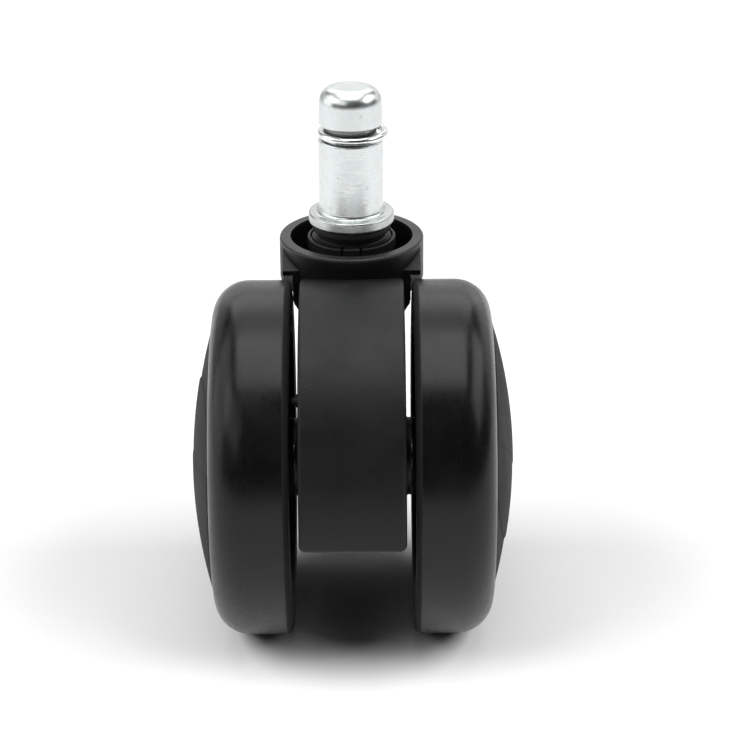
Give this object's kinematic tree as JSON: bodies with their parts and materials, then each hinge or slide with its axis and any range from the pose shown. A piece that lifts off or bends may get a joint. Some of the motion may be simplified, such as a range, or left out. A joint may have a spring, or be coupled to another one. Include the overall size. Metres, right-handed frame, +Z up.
{
  "type": "chair caster",
  "caption": "Twin-wheel swivel caster with a domed-cap wheel each side, a hooded body and a steel grip-ring stem for an office chair base.",
  "frame": {"origin": "on the swivel axis, at the seat face on top of the stem flange", "axes": "+Z up along the stem, X along the wheel axle, the hood band faces -Y"},
  "size_m": [0.054, 0.0624, 0.0891],
  "materials": {
    "zinc_steel": "bright zinc plate, polished at the tip and finely turned on the sleeve",
    "spring_steel": "bright plated spring wire",
    "axle_steel": "plain drawn steel",
    "body_nylon": "fine spark texture, satin black",
    "collar_nylon": "plain moulded, dark grey",
    "wheel_nylon": "plain moulded, black",
    "cap_nylon": "smooth moulded, semi-gloss black",
    "tread_pu": "soft semi-gloss polyurethane, black",
    "bush_acetal": "plain moulded, off-white"
  },
  "bodies": {
    "stem_body": {"stem": "zinc_steel", "stem_clip": "spring_steel"},
    "ring_body": {"grip_ring": "spring_steel"},
    "swivel_body": {"housing": "body_nylon", "stem_washer": "collar_nylon", "socket_collar": "collar_nylon", "wear_disc": "axle_steel", "socket_plug": "body_nylon", "axle": "axle_steel", "left_spacer": "bush_acetal", "right_spacer": "bush_acetal", "left_lock_washer": "axle_steel", "right_lock_washer": "axle_steel"},
    "left_wheel": {"left_core": "wheel_nylon", "left_tread": "tread_pu", "left_bush": "bush_acetal", "left_hub_cap": "cap_nylon"},
    "right_wheel": {"right_core": "wheel_nylon", "right_tread": "tread_pu", "right_bush": "bush_acetal", "right_hub_cap": "cap_nylon"}
  },
  "joints": [
    {"name": "swivel", "type": "hinge", "parent": "stem_body", "child": "swivel_body", "pos_m": [0, 0, 0], "axis": [0, 0, 1], "continuous": true},
    {"name": "ring_turn", "type": "hinge", "parent": "stem_body", "child": "ring_body", "pos_m": [0, 0, 0.014], "axis": [0, 0, 1], "continuous": true},
    {"name": "left_wheel_spin", "type": "hinge", "parent": "swivel_body", "child": "left_wheel", "pos_m": [0, -0.02, -0.0371], "axis": [1, 0, 0], "continuous": true},
    {"name": "right_wheel_spin", "type": "hinge", "parent": "swivel_body", "child": "right_wheel", "pos_m": [0, -0.02, -0.0371], "axis": [1, 0, 0], "continuous": true}
  ]
}
